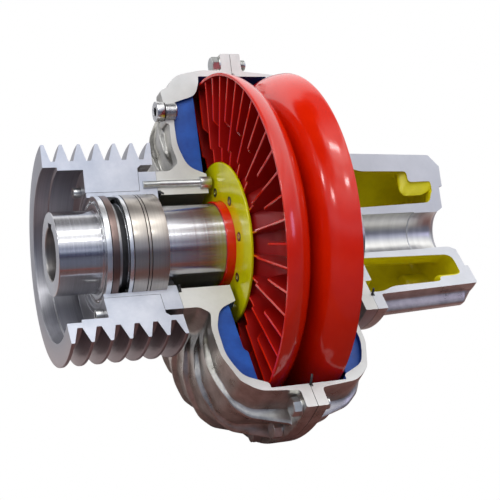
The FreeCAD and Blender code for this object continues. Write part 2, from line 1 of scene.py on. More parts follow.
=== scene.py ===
import bpy
import math
import numpy as np
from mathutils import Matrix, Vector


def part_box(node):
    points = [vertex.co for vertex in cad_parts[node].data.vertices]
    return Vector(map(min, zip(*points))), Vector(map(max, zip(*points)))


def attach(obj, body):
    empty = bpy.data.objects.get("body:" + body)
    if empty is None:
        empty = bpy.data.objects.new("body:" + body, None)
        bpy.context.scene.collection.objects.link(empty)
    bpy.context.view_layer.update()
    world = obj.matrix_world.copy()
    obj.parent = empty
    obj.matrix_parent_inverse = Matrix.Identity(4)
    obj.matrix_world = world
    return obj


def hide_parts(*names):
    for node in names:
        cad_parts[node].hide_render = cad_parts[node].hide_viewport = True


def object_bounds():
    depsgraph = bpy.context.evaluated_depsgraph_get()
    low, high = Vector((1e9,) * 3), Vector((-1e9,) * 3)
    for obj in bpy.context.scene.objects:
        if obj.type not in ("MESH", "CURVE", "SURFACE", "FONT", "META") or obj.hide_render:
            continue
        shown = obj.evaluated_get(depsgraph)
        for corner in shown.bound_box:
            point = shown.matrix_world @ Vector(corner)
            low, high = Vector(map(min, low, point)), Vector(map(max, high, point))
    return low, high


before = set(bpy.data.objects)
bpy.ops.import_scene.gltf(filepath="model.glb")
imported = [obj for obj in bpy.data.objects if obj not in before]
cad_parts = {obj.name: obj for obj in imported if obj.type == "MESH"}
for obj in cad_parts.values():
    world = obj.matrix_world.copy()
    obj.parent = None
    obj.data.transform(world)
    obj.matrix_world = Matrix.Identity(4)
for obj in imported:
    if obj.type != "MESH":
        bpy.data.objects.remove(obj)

cad_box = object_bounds()

# Studio. The sectioned coupling hangs at axle height over a pale floor, in front of a white wall,
# in large soft light from above left. Narrow strips and small lamps give the glossy highlights.
scene = bpy.context.scene
view_point = (-0.20897, -1.06028, 0.16849)
view_yaw = math.radians(21.983)
view_drop = math.radians(8.775)
camera = bpy.data.objects.new("view", bpy.data.cameras.new("view"))
camera.data.sensor_width = 36.0
camera.data.lens = 76.06
camera.location = view_point
camera.rotation_euler = (math.pi / 2 - view_drop, 0, -view_yaw)
scene.collection.objects.link(camera)
scene.camera = camera
scene.view_settings.view_transform = "Standard"


def studio_light(name, place, size, power, tone, mirrored):
    """Area light at a place, turned towards the middle of the coupling; mirrored tells whether
    glossy faces show it."""
    light = bpy.data.lights.new(name, "AREA")
    light.shape = "RECTANGLE"
    light.size, light.size_y = size
    light.energy = power
    light.color = tone
    lamp = bpy.data.objects.new(name, light)
    away = np.array((0.2, 0, 0)) - np.array(place)
    flat = math.hypot(away[0], away[1])
    lamp.location = place
    lamp.rotation_euler = (math.atan2(flat, -away[2]), 0, math.atan2(-away[0], away[1]))
    lamp.visible_glossy = mirrored
    lamp.visible_camera = False
    scene.collection.objects.link(lamp)


white = (1, 1, 1)
studio_light("soft_top", (-0.3, -0.7, 1.7), (1.6, 1.2), 4, (1, 0.99, 0.97), False)
studio_light("soft_left", (-1.6, -1.3, 0.7), (0.9, 1.4), 8, (0.96, 0.98, 1), False)
small_lamps = [((-0.12, -0.84, 1.94), 0.75, 5.0), ((0.10, -1.60, 1.46), 0.35, 3.0),
               ((-1.54, -0.32, 0.98), 0.14, 1.5), ((-1.30, -1.06, 0.98), 0.26, 2.0),
               ((-1.48, 0.52, 0.88), 0.14, 1.5)]
for number, (place, wide, power) in enumerate(small_lamps):
    studio_light(f"lamp_{number}", place, (wide, 0.16), power, white, True)
studio_light("blue_window", (2.1, -1.6, 0.62), (0.4, 0.5), 2.5, (0.62, 0.55, 1), True)


def feed(tree, node, inputs):
    """Gives inputs of a node, by name or number, a value or the output of another node."""
    for key, value in inputs.items():
        if isinstance(value, bpy.types.NodeSocket):
            tree.links.new(value, node.inputs[key])
        else:
            node.inputs[key].default_value = value


def new_node(tree, kind, inputs=None, **settings):
    """Shader node of a kind with its own settings and its inputs."""
    made = tree.nodes.new("ShaderNode" + kind)
    for key, value in settings.items():
        setattr(made, key, value)
    feed(tree, made, inputs or {})
    return made


def tone_ramp(tree, factor, tones):
    """Colour that runs through tones over a factor: each is (place from 0 to 1, colour)."""
    ramp = new_node(tree, "ValToRGB", {0: factor})
    spots = ramp.color_ramp.elements
    for number, (place, tone) in enumerate(tones):
        spot = spots[number] if number < 2 else spots.new(place)
        spot.position = place
        spot.color = (*tone, 1)
    return ramp.outputs[0]


world = bpy.data.worlds.new("studio")
world.use_nodes = True
scene.world = world
sky_tree = world.node_tree
toward = new_node(sky_tree, "TexCoord").outputs["Generated"]
toward_part = new_node(sky_tree, "SeparateXYZ", {0: toward}).outputs


def sky_ramp(tones):
    """Tone of the surroundings by height: each is (degrees above the horizon, colour)."""
    lift = new_node(sky_tree, "MapRange", {"Value": toward_part["Z"], "From Min": -1})
    return tone_ramp(sky_tree, lift.outputs[0],
                     [(0.5 + 0.5 * math.sin(math.radians(height)), tone) for height, tone in tones])


def sky_patch(below, middle, full, none, tone):
    """Round patch of one grey over the colour below it, centred on a direction: complete up to
    full degrees from its middle, gone beyond none degrees."""
    near = new_node(sky_tree, "VectorMath", {0: toward, 1: middle}, operation="DOT_PRODUCT")
    edge = new_node(sky_tree, "MapRange", {"Value": near.outputs["Value"],
                                           "From Min": math.cos(math.radians(none)),
                                           "From Max": math.cos(math.radians(full))},
                    interpolation_type="SMOOTHSTEP")
    mix = new_node(sky_tree, "Mix", {"Factor": edge.outputs[0], "A": below,
                                     "B": (tone, tone, tone, 1)}, data_type="RGBA")
    return mix.outputs["Result"]


front_sky = sky_ramp([(-10, (0.13, 0.10, 0.10)), (0, (0.08, 0.08, 0.13)), (7, (0.11, 0.13, 0.21)),
                      (14, (0.55, 0.60, 0.74)), (21, (0.34, 0.37, 0.48)), (28, (0.66, 0.70, 0.80)),
                      (36, (1.20, 1.22, 1.30)), (41, (0.80, 0.82, 0.86)), (48, (1.7, 1.7, 1.7)),
                      (53, (1.2, 1.2, 1.2)), (58, (2.3, 2.3, 2.3)), (65, (2.4, 2.4, 2.4)),
                      (69, (1.0, 1.0, 1.02)), (80, (1.1, 1.12, 1.15)), (90, (0.85, 0.87, 0.90))])
back_sky = sky_ramp([(-5, (0.35, 0.34, 0.34)), (6, (0.8, 0.8, 0.82)), (15, (1.1, 1.1, 1.12)),
                     (40, (1.3, 1.3, 1.32)), (57, (1.1, 1.1, 1.1)), (63, (0.34, 0.33, 0.33)),
                     (90, (0.36, 0.36, 0.38))])
behind = new_node(sky_tree, "MapRange", {"Value": toward_part["Y"], "From Min": -0.2,
                                         "From Max": 0.1}, interpolation_type="SMOOTHSTEP")
whole_sky = new_node(sky_tree, "Mix", {"Factor": behind.outputs[0], "A": front_sky,
                                       "B": back_sky}, data_type="RGBA").outputs["Result"]
dark_patches = [((-0.678, -0.274, 0.682), 8, 20, 0.25), ((-0.656, 0.023, 0.755), 13, 18, 0.02),
                ((-0.302, 0.272, 0.914), 9, 14, 0.05), ((-0.544, 0.289, 0.788), 15, 19, 0.01)]
for patch in dark_patches:
    whole_sky = sky_patch(whole_sky, *patch)
sky = sky_tree.nodes["Background"]
feed(sky_tree, sky, {"Color": whole_sky, "Strength": 1.0})
white_seen = new_node(sky_tree, "Background", {"Color": (*white, 1)})
to_camera = new_node(sky_tree, "LightPath").outputs["Is Camera Ray"]
seen_or_sky = new_node(sky_tree, "MixShader", {0: to_camera, 1: sky.outputs[0],
                                               2: white_seen.outputs[0]})
feed(sky_tree, sky_tree.nodes["World Output"], {"Surface": seen_or_sky.outputs[0]})

# Floor and wall in one sweep: a flat floor just under the casing that bends up into a wall.
# It looks white to the camera; on the metal it throws back red-brown from in front of the
# coupling and pale grey from behind it.
floor_height = cad_box[0].z - 0.001
sweep_half_width = 6.0
sweep_depth = np.array((-6.0, 2.2, 2.5, 2.7, 2.8, 2.8))
sweep_rise = np.array((0.0, 0.0, 0.02, 0.10, 0.25, 1.1)) + floor_height
strips = len(sweep_depth)
floor_verts = [(x, y, z) for x in (-sweep_half_width, sweep_half_width)
               for y, z in zip(sweep_depth, sweep_rise)]
floor_faces = [(i, i + strips, i + strips + 1, i + 1) for i in range(strips - 1)]
floor_mesh = bpy.data.meshes.new("floor")
floor_mesh.from_pydata(floor_verts, [], floor_faces)
floor_mesh.shade_smooth()
floor = bpy.data.objects.new("floor", floor_mesh)
scene.collection.objects.link(floor)
paper = bpy.data.materials.new("paper")
paper.use_nodes = True
floor_mesh.materials.append(paper)
paper_tree = paper.node_tree
floor_place = new_node(paper_tree, "TexCoord").outputs["Object"]
depth = new_node(paper_tree, "SeparateXYZ", {0: floor_place}).outputs["Y"]
floor_span = new_node(paper_tree, "MapRange", {"Value": depth, "From Min": -1.0, "From Max": 1.0})
floor_tone = tone_ramp(paper_tree, floor_span.outputs[0], [
    (0.22, (0.13, 0.14, 0.18)), (0.32, (0.13, 0.13, 0.15)), (0.337, (0.27, 0.08, 0.06)),
    (0.357, (0.15, 0.10, 0.095)), (0.45, (0.22, 0.09, 0.075)), (0.56, (0.44, 0.34, 0.32)),
    (0.66, (0.64, 0.56, 0.54)), (0.85, (0.42, 0.42, 0.44))])
thrown = new_node(paper_tree, "BsdfDiffuse", {"Color": floor_tone})
wall_span = new_node(paper_tree, "MapRange", {"Value": depth, "From Min": 0.6, "From Max": 2.4,
                                              "To Max": 0.22})
glow = new_node(paper_tree, "Emission", {"Color": (*white, 1), "Strength": wall_span.outputs[0]})
lit = new_node(paper_tree, "AddShader", {0: thrown.outputs[0], 1: glow.outputs[0]})
seen = new_node(paper_tree, "Emission", {"Color": (*white, 1), "Strength": 1.0})
to_camera = new_node(paper_tree, "LightPath").outputs["Is Camera Ray"]
chosen = new_node(paper_tree, "MixShader", {0: to_camera, 1: lit.outputs[0], 2: seen.outputs[0]})
feed(paper_tree, paper_tree.nodes["Material Output"], {"Surface": chosen.outputs[0]})


# Hollow shaft. Ground and polished steel, bored through for a 55 mm motor shaft, with a keyway
# along the top of the bore; it steps up at the first bearing and ends at the rear bearing.
def eased(corners, radius, steps=4):
    """Closed outline with eased corners. Each corner C becomes the parabola
    (1-t)^2 A + 2t(1-t) C + t^2 B, where A and B lie on its two sides, one radius away."""
    corner = np.array(corners, float)
    back = np.roll(corner, 1, 0) - corner
    ahead = np.roll(corner, -1, 0) - corner
    back_length = np.linalg.norm(back, axis=1, keepdims=True)
    ahead_length = np.linalg.norm(ahead, axis=1, keepdims=True)
    a = corner + back * np.minimum(radius / back_length, 0.45)
    b = corner + ahead * np.minimum(radius / ahead_length, 0.45)
    t = np.linspace(0, 1, steps)[None, :, None]
    curve = (1 - t) ** 2 * a[:, None] + 2 * t * (1 - t) * corner[:, None] + t ** 2 * b[:, None]
    return curve.reshape(-1, 2)


def clockwise(outline):
    """Whether a closed outline runs clockwise: sum of x_k r_(k+1) - x_(k+1) r_k below 0."""
    x, r = np.asarray(outline).T
    return np.sum(x * np.roll(r, -1) - np.roll(x, -1) * r) < 0


def lathed(outline, angles, aside=0.0):
    """Grid of points of an outline (x, r) turned about the X axis: at angle a, measured from
    the side that is cut open, the point is (x, -r cos a + s sin a, r sin a + s cos a), where s
    is its distance aside from the radial plane."""
    x, r = np.moveaxis(np.asarray(outline), -1, 0)
    a = np.radians(angles)[:, None]
    return np.stack([x + 0 * a, -r * np.cos(a) + aside * np.sin(a),
                     r * np.sin(a) + aside * np.cos(a)], -1)


def ring_faces(rows, columns, row_loop, column_loop):
    """Quads of a grid, with wrap-around where a direction closes on itself."""
    i = np.arange(rows if row_loop else rows - 1)[:, None]
    j = np.arange(columns if column_loop else columns - 1)[None]
    up = (i + 1) % rows
    on = (j + 1) % columns
    quads = np.stack([i * columns + j, up * columns + j, up * columns + on, i * columns + on], -1)
    return quads.reshape(-1, 4)


def tube_faces(rows, columns, turned_over=False):
    """Faces of a tube of point rings: its quads, then its two flat ends."""
    last = (rows - 1) * columns
    faces = ring_faces(rows, columns, False, True).tolist()
    faces += [list(range(columns)), list(range(last, last + columns))[::-1]]
    return [face[::-1] for face in faces] if turned_over else faces


def repeated(faces, points, times):
    """Faces of equal bodies one after another, each body with its own run of points."""
    return [[v + points * k for v in face] for k in range(times) for face in faces]


def piece(name, points, faces, paints, paint_of_face, body, smooth_below=38):
    """Mesh object from points and faces, its materials, and the CAD body that it rides on."""
    mesh = bpy.data.meshes.new(name)
    mesh.from_pydata(points.reshape(-1, 3).tolist(), [], [list(map(int, f)) for f in faces])
    for paint in paints:
        mesh.materials.append(paint)
    mesh.polygons.foreach_set("material_index", np.asarray(paint_of_face, np.int32))
    mesh.shade_smooth()
    mesh.set_sharp_from_angle(angle=math.radians(smooth_below))
    made = bpy.data.objects.new(name, mesh)
    scene.collection.objects.link(made)
    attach(made, body)
    return made


def turned_piece(name, corners, angles, paints, paint_of_side, body, ease=0.0004, cut_paint=0):
    """Lathe piece: a closed outline turned about X. Over a part turn, its two cut ends are
    closed by flat faces with cut_paint; paint_of_side gives one paint for each side."""
    steps = 4
    outline = eased(corners, ease, steps)
    if clockwise(outline):
        outline = outline[::-1]
        paint_of_side = np.roll(np.atleast_1d(paint_of_side)[::-1], -1)
    whole = abs(angles[-1] - angles[0]) > 359.9
    grid = lathed(outline, angles[:-1] if whole else angles)
    rows, columns = grid.shape[:2]
    paint = np.repeat(np.broadcast_to(paint_of_side, len(corners)), steps)
    if whole:
        return piece(name, grid, ring_faces(rows, columns, True, True), paints,
                     np.tile(paint, rows), body)
    return piece(name, grid, tube_faces(rows, columns), paints,
                 np.append(np.tile(paint, rows - 1), [cut_paint, cut_paint]), body)


def marks_group(name, build):
    """Node group for a surface effect: build turns the place on the piece and a scale into one
    value."""
    group = bpy.data.node_groups.new(name, "ShaderNodeTree")
    group.interface.new_socket("Scale", in_out="INPUT", socket_type="NodeSocketFloat")
    group.interface.new_socket("Mark", in_out="OUTPUT", socket_type="NodeSocketFloat")
    scale = group.nodes.new("NodeGroupInput").outputs["Scale"]
    place = new_node(group, "TexCoord").outputs["Object"]
    feed(group, group.nodes.new("NodeGroupOutput"), {"Mark": build(group, place, scale)})
    return group


def turning_lines(group, place, scale):
    """Fine rings of a turned face: noise over (x, distance from the axis)."""
    part = new_node(group, "SeparateXYZ", {0: place}).outputs
    flat = new_node(group, "CombineXYZ", {"X": part["Y"], "Y": part["Z"]}).outputs[0]
    radius = new_node(group, "VectorMath", {0: flat}, operation="LENGTH").outputs["Value"]
    spot = new_node(group, "CombineXYZ", {"X": part["X"], "Y": radius}).outputs[0]
    noise = new_node(group, "TexNoise", {"Vector": spot, "Scale": scale, "Detail": 3})
    return noise.outputs["Fac"]


def cloudy(group, place, scale):
    """Soft uneven patches: layered noise over the piece's own place."""
    noise = new_node(group, "TexNoise", {"Vector": place, "Scale": scale, "Detail": 6,
                                         "Roughness": 0.62})
    return noise.outputs["Fac"]


turning_marks = marks_group("turning marks", turning_lines)
cloudy_marks = marks_group("cloudy marks", cloudy)
rough = (cloudy_marks, cloudy_marks)
turned = (turning_marks, turning_marks)
skimmed = (cloudy_marks, turning_marks)


def finish(name, dark, light, roughness, pattern, grain, marks=rough, metallic=0.0, coat=0.0,
           contrast=(0.35, 0.65), brushed=0.0):
    """Surface finish: colour from dark to light and roughness from low to high follow the
    pattern, whose scale is given, fine relief follows the grain (scale, depth), and marks names
    the effects of the two; coat is a clear glossy layer. Brushed metal spreads its highlights
    across the turning marks: along normal x (0, -z, y)."""
    made = bpy.data.materials.new(name)
    made.use_nodes = True
    tree = made.node_tree
    shader = tree.nodes["Principled BSDF"]
    tone, relief = (new_node(tree, "Group", {"Scale": scale}, node_tree=effect).outputs[0]
                    for effect, scale in zip(marks, (pattern, grain[0])))
    low, high = contrast
    shine = new_node(tree, "MapRange", {"Value": tone, "From Min": low, "From Max": high,
                                        "To Min": roughness[0], "To Max": roughness[1]})
    bump = new_node(tree, "Bump", {"Height": relief, "Strength": 1.0, "Distance": grain[1]})
    feed(tree, shader, {"Base Color": tone_ramp(tree, tone, [(low, dark), (high, light)]),
                        "Metallic": metallic, "Roughness": shine.outputs[0],
                        "Normal": bump.outputs[0], "Coat Weight": coat, "Coat Roughness": 0.06})
    if brushed:
        place = new_node(tree, "TexCoord").outputs["Object"]
        part = new_node(tree, "SeparateXYZ", {0: place}).outputs
        minus = new_node(tree, "Math", {0: part["Z"], 1: -1}, operation="MULTIPLY").outputs[0]
        along = new_node(tree, "CombineXYZ", {"Y": minus, "Z": part["Y"]}).outputs[0]
        facing = new_node(tree, "NewGeometry").outputs["Normal"]
        across = new_node(tree, "VectorMath", {0: facing, 1: along}, operation="CROSS_PRODUCT")
        feed(tree, shader, {"Anisotropic": brushed, "Tangent": across.outputs[0]})
    return made


polished_steel = finish("polished steel", (0.54, 0.54, 0.56), (0.64, 0.64, 0.67),
                        roughness=(0.20, 0.25), pattern=700, grain=(1600, 1e-6), marks=turned,
                        metallic=1.0, brushed=0.95)
bored_steel = finish("bored steel", (0.34, 0.33, 0.33), (0.42, 0.41, 0.40), roughness=(0.30, 0.38),
                     pattern=500, grain=(1500, 3e-6), marks=turned, metallic=1.0)
full_turn = np.linspace(0, 360, 241)
nose_radius = 0.0432
nose_length = 0.0445
seat_radius = 0.045
shaft_bore = 0.0275
shaft_ease = 0.0012
shaft_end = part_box("hollow_shaft")[1].x
keyway_at = 90
keyway_half = 0.008
keyway_floor = shaft_bore + 0.0043
shaft_line = eased([(0, shaft_bore), (shaft_end, shaft_bore), (shaft_end, seat_radius),
                    (nose_length, seat_radius), (nose_length, nose_radius), (0, nose_radius)],
                   shaft_ease, 5)
key_edge = math.degrees(math.asin(keyway_half / shaft_bore))
wall_step = 0.02
key_walls = [keyway_at + side * key_edge + step
             for side in (-1, 1) for step in (-wall_step, wall_step)]
shaft_angles = np.sort(np.append(full_turn[:-1], key_walls))
shaft_grid = lathed(shaft_line, shaft_angles)
in_bore = (shaft_line[:, 1] < shaft_bore + 1.05 * shaft_ease)[None]
in_keyway = (np.abs(shaft_angles - keyway_at) < key_edge)[:, None] & in_bore
shaft_grid[..., 2] = np.where(in_keyway, keyway_floor, shaft_grid[..., 2])
shaft_quads = ring_faces(*shaft_grid.shape[:2], True, True)
bore_column = np.tile(in_bore[0], len(shaft_angles))
shaft = piece("shaft_body", shaft_grid, shaft_quads, [polished_steel, bored_steel],
              bore_column.astype(int), "rotor")
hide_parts("hollow_shaft")


# Bearings. Ground steel races with a brass cage and balls between them: a narrow bearing at the
# front, a double-row one with a groove round its middle, and one at the shaft's rear end.
race_outside = 0.0575
outer_race_inside = 0.0531
inner_race_outside = 0.0494
race_groove = 0.0013
front_bearing = (0.045, 0.058)
double_bearing = (0.0685, 0.1095)
rear_bearing = (0.3175, 0.3305)
race_steel = finish("race steel", (0.47, 0.43, 0.385), (0.52, 0.48, 0.43), roughness=(0.28, 0.31),
                    pattern=600, grain=(1800, 1e-6), marks=turned, metallic=1.0, brushed=0.5)
race_brown = finish("race brown", (0.20, 0.145, 0.13), (0.24, 0.175, 0.16), roughness=(0.34, 0.38),
                    pattern=600, grain=(1800, 1e-6), marks=turned, metallic=1.0, brushed=0.4)
race_edge = finish("race edge", (0.72, 0.73, 0.74), (0.82, 0.83, 0.84), roughness=(0.22, 0.27),
                   pattern=700, grain=(1600, 1e-6), marks=turned, metallic=1.0)
# Black: the circlip's own colour, and painted shade in the races' grooves and on the spacer's low
# step.
black_and_painted_shade = finish("black and painted shade", (0.012, 0.012, 0.013), (0.03, 0.03, 0.032),
                      roughness=(0.4, 0.55), pattern=300, grain=(900, 3e-5))
cage_brass = finish("cage brass", (0.42, 0.30, 0.14), (0.62, 0.47, 0.24), roughness=(0.25, 0.4),
                    pattern=260, grain=(1500, 3e-5), marks=skimmed, metallic=1.0)

race_paints = [race_edge, race_steel, black_and_painted_shade, race_brown]
edge, ground, black, brown = range(4)


def grooved_race(span, grooves, lands):
    """Outer race outline with square grooves, and the paint of each side: lands gives the
    paint of the outside face in front of, between and behind the grooves."""
    start, stop = span
    corners = [(start, outer_race_inside), (start, race_outside)]
    sides = [edge, lands[0]]
    for (at, width), land in zip(grooves, lands[1:]):
        corners += [(at, race_outside), (at, race_outside - race_groove),
                    (at + width, race_outside - race_groove), (at + width, race_outside)]
        # The groove sides are painted black, as painted shade in the grooves.
        sides += [black, black, black, land]
    corners += [(stop, race_outside), (stop, outer_race_inside)]
    return corners, sides + [edge, edge]


double_middle = sum(double_bearing) / 2
fine_groove = 0.0005
races = {
    "front_outer_race": (front_bearing, [(0.0504, fine_groove)], [edge, brown]),
    "double_outer_race": (double_bearing, [(0.0725, 0.0006), (double_middle - 0.0013, fine_groove),
                                           (double_middle + 0.0020, fine_groove)],
                          [edge, ground, ground, ground]),
    "rear_outer_race": (rear_bearing, [], [ground]),
}
for race_name, (span, grooves, lands) in races.items():
    corners, sides = grooved_race(span, grooves, lands)
    turned_piece(race_name, corners, full_turn, race_paints, sides, "casing",
                                    0.0003)
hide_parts("bearing_outer_rings")


def ring_line(start, stop, inside, outside):
    """Corners of a plain ring's section, between two planes across the axis and two radii."""
    return [(start, inside), (stop, inside), (stop, outside), (start, outside)]


for number, (start, stop) in enumerate((front_bearing, double_bearing, rear_bearing)):
    corners = ring_line(start, stop, seat_radius, inner_race_outside)
    turned_piece(f"inner_race_{number}", corners, full_turn, [race_edge], 0,
                                    "rotor", 0.0004)
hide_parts("bearing_inner_rings")

# Cage and balls: the cage is a ring that waves between the balls; each ball is a sphere
# between the races. Both turn at about half the shaft's speed.
ball_count = 34
ball_radius = 0.00182
ball_circle = (inner_race_outside + outer_race_inside) / 2
row_inset = 0.009
front_row_shift = -0.003
ball_rows = [sum(front_bearing) / 2 + front_row_shift, double_bearing[0] + row_inset,
             double_bearing[1] - row_inset, sum(rear_bearing) / 2]
latitude = np.radians(np.linspace(-90, 90, 9))
longitude = np.radians(np.linspace(0, 360, 13)[:-1])
ball_shape = np.stack([np.sin(latitude)[:, None] + 0 * longitude,
                       np.cos(latitude)[:, None] * np.cos(longitude),
                       np.cos(latitude)[:, None] * np.sin(longitude)], -1).reshape(-1, 3)
ball_angles = np.arange(ball_count) * 360 / ball_count
ball_places = lathed([(row, ball_circle) for row in ball_rows], ball_angles).swapaxes(0, 1)
balls_points = ball_places.reshape(-1, 1, 3) + ball_shape * ball_radius
balls_faces = repeated(ring_faces(9, 12, False, True), len(ball_shape), len(balls_points))
balls = piece("bearing_balls", balls_points, balls_faces, [race_edge],
              np.zeros(len(balls_faces)), "cages", 60)
cage_span = np.array((0.0024, 0.0034))
cage_half = 0.0013
cage_wave = 0.0009
cage_angles = np.linspace(0, 360, ball_count * 8 + 1)[:-1]
for number, row in enumerate(ball_rows):
    grid = lathed(ring_line(*(row + cage_span), ball_circle - cage_half, ball_circle + cage_half),
                  cage_angles)
    grid[..., 0] += cage_wave * np.cos(np.radians(cage_angles) * ball_count)[:, None]
    quads = ring_faces(*grid.shape[:2], True, True)
    piece(f"cage_{number}", grid, quads, [cage_brass], np.zeros(len(quads)),
                       "cages", 30)
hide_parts("bearing_cages")

# Spacer ring between the bearings on the shaft, and the black circlip in the carrier's bore.
spacer_step = 0.0622
spacer_low = 0.0482
spacer_high = 0.0514
# The spacer's low step and its wall, in the gap between the bearings, are painted black as painted
# shade.
spacer = turned_piece(
    "spacer", [(front_bearing[1], seat_radius), (double_bearing[0], seat_radius),
               (double_bearing[0], spacer_low), (spacer_step + 0.0003, spacer_low),
               (spacer_step, spacer_high), (front_bearing[1], spacer_high)],
    full_turn, [bored_steel, black_and_painted_shade], [0, 0, 1, 1, 0, 0], "rotor")
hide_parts("spacer_ring")
upper_cut = 109
lower_cut = 321
cut_angles = np.linspace(upper_cut, lower_cut, 160)
circlip_inside = 0.0535
circlip_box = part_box("bearing_circlip")
circlip_line = ring_line(circlip_box[0].x, circlip_box[1].x, circlip_inside, race_outside)
circlip = turned_piece("circlip", circlip_line, cut_angles, [black_and_painted_shade], 0, "casing", 0.0002)
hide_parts("bearing_circlip")


# Bearing carrier. A turned aluminium sleeve round the bearings with a flange that pulley and
# casing bolt to; it is sawn open with them, so its cut faces are flat and pale.
cut_aluminium = finish("cut aluminium", (0.52, 0.56, 0.645), (0.70, 0.73, 0.80),
                       roughness=(0.42, 0.55), pattern=26, grain=(700, 3e-5), metallic=0.25)
turned_aluminium = finish("turned aluminium", (0.37, 0.37, 0.395), (0.46, 0.46, 0.49),
                          roughness=(0.30, 0.40), pattern=500, grain=(1300, 6e-6), marks=turned,
                          metallic=1.0)
hub_outside = 0.0835
sleeve_outside = 0.0625
carrier_start = 0.043
carrier_lip = 0.0525
flange_start = 0.1013
casing_joint = 0.121
carrier_end = casing_joint - 0.0003
carrier = turned_piece(
    "carrier", [(carrier_start, race_outside), (double_bearing[1], race_outside),
                (double_bearing[1], carrier_lip), (carrier_end, carrier_lip),
                (carrier_end, hub_outside), (flange_start, hub_outside),
                (flange_start, sleeve_outside), (carrier_start, sleeve_outside)],
    cut_angles, [turned_aluminium, cut_aluminium], 0, "casing", 0.0005, 1)
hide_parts("bearing_carrier")
seal_rubber = finish("seal rubber", (0.010, 0.010, 0.011), (0.03, 0.03, 0.03),
                     roughness=(0.35, 0.6), pattern=200, grain=(1200, 4e-5))


def seal_ring(name, node, inside, outside):
    """Rubber ring over a CAD seal's length, between two radii, eased all round."""
    low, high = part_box(node)
    ring = turned_piece(name, ring_line(low.x, high.x, inside, outside), cut_angles,
                        [seal_rubber], 0, "casing", 0.0008)
    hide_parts(node)


seal_ring("front_lip_seal", "front_shaft_seal", 0.0454, 0.0524)
seal_ring("carrier_seal", "carrier_o_ring", 0.0581, 0.0624)
seal_ring("rear_lip_seal", "rear_shaft_seal", 0.0454, 0.0574)
seal_ring("flange_joint_seal", "flange_seal", 0.1905, 0.1943)
seal_ring("chamber_joint_seal", "chamber_o_ring", 0.0841, 0.0879)
cord_radius = 0.0012
cord_reach = 0.007


def cord_end(name, x, r, cut, sideways):
    """Sawn end of a sealing ring that stands out of the cut face: a round tube along
    P(s) = (x, r) + s outwards + (s / reach)^2 sideways, from inside the groove to its reach."""
    s = np.array((-0.003, 0, 0.002, 0.004, 0.0055, cord_reach))[:, None]
    a = math.radians(cut)
    outwards = np.array((0, math.sin(a), math.cos(a))) * (1 if cut == lower_cut else -1)
    radial = np.array((0, -math.cos(a), math.sin(a)))
    axis = np.array((1.0, 0, 0))
    middle_line = (axis * x + radial * r + s * outwards
                   + (s / cord_reach) ** 2 * (axis * sideways[0] + radial * sideways[1]))
    around = 12
    t = np.radians(np.arange(around) * 360 / around)[None, :, None]
    tube = middle_line[:, None] + cord_radius * (np.cos(t) * axis + np.sin(t) * radial)
    faces = tube_faces(len(s), around, cut == lower_cut)
    piece(name, tube, faces, [seal_rubber], np.zeros(len(faces)), "casing", 40)


cord_end("flange_cord_top", 0.2225, 0.1922, upper_cut, (-0.0035, -0.003))
cord_end("flange_cord_low", 0.2228, 0.1918, lower_cut, (0.0022, -0.0068))
cord_end("carrier_cord_top", 0.1227, 0.0604, upper_cut, (0.0015, -0.003))
cord_end("carrier_cord_low", 0.1227, 0.0604, lower_cut, (-0.0015, -0.002))
cord_end("chamber_cord_low", 0.3345, 0.0862, lower_cut, (0.001, -0.003))


# V-belt pulley. Turned from one aluminium blank with six belt grooves, a recess at each end and
# a hub web bored for the carrier's sleeve; cut open, its section is a pale flat face.
pulley_width = 0.118
crest = 0.1155
groove_floor = 0.0973
groove_middles = 0.0115 + 0.019 * np.arange(6)
floor_half = 0.0025
flank_run = (crest - groove_floor) * math.tan(math.radians(17))
groove_side = np.array((-floor_half - flank_run, -floor_half, floor_half, floor_half + flank_run))
groove_height = np.array((crest, groove_floor, groove_floor, crest))
grooves_line = np.stack(np.broadcast_arrays(groove_middles[:, None] + groove_side, groove_height),
                        -1).reshape(-1, 2)
web_start = 0.0423
web_end = flange_start - 0.0004
sleeve_fit = sleeve_outside + 0.0004
recess_radius = 0.0876
mouth_radius = 0.091
front_mouth = 0.0151
rear_mouth = 0.1047
pulley_line = ([(0, mouth_radius), (0, crest)] + grooves_line.tolist()
               + [(pulley_width, crest), (pulley_width, mouth_radius), (rear_mouth, mouth_radius),
                  (web_end, recess_radius), (web_end, sleeve_fit), (web_start, sleeve_fit),
                  (web_start, recess_radius), (front_mouth, recess_radius),
                  (front_mouth, mouth_radius)])
pulley = turned_piece("pulley", pulley_line, np.linspace(upper_cut, lower_cut, 320),
                      [turned_aluminium, cut_aluminium], 0, "casing", 0.0006, 1)
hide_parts("v_belt_pulley")

# Main casing. Two bladed shells of sand-cast aluminium, bolted at a flange: smooth cast skin with
# rounded ribs outside, blue paint inside, and pale sawn faces where the shells are cut open.
cast_aluminium = finish("cast aluminium", (0.38, 0.37, 0.335), (0.62, 0.605, 0.565),
                        roughness=(0.26, 0.38), pattern=55, grain=(900, 6e-5), metallic=0.9)
cut_casting = finish("cut casting", (0.62, 0.62, 0.585), (0.76, 0.765, 0.73),
                     roughness=(0.42, 0.55), pattern=18, grain=(800, 4e-5), metallic=0.2)
blue_paint = finish("blue paint", (0.006, 0.055, 0.30), (0.012, 0.10, 0.46), roughness=(0.45, 0.55),
                    pattern=40, grain=(420, 1e-4))
circuit_middle = 0.2225
bolt_first = 111.3
bolt_step = 360 / 21
rib_middles = bolt_first + bolt_step * (np.arange(-2, 15) + 0.5)


def both_sides(steps):
    """Angles at steps on both sides of a middle, and the middle itself."""
    return np.concatenate([-np.array(steps[::-1]), [0], steps])


def kept_angles(groups, digits):
    """Angles of several groups in order, each once, without those in the cut-away sector."""
    found = np.unique(np.round(np.concatenate([np.ravel(group) for group in groups]), digits))
    return found[(found >= upper_cut) & (found <= lower_cut)]


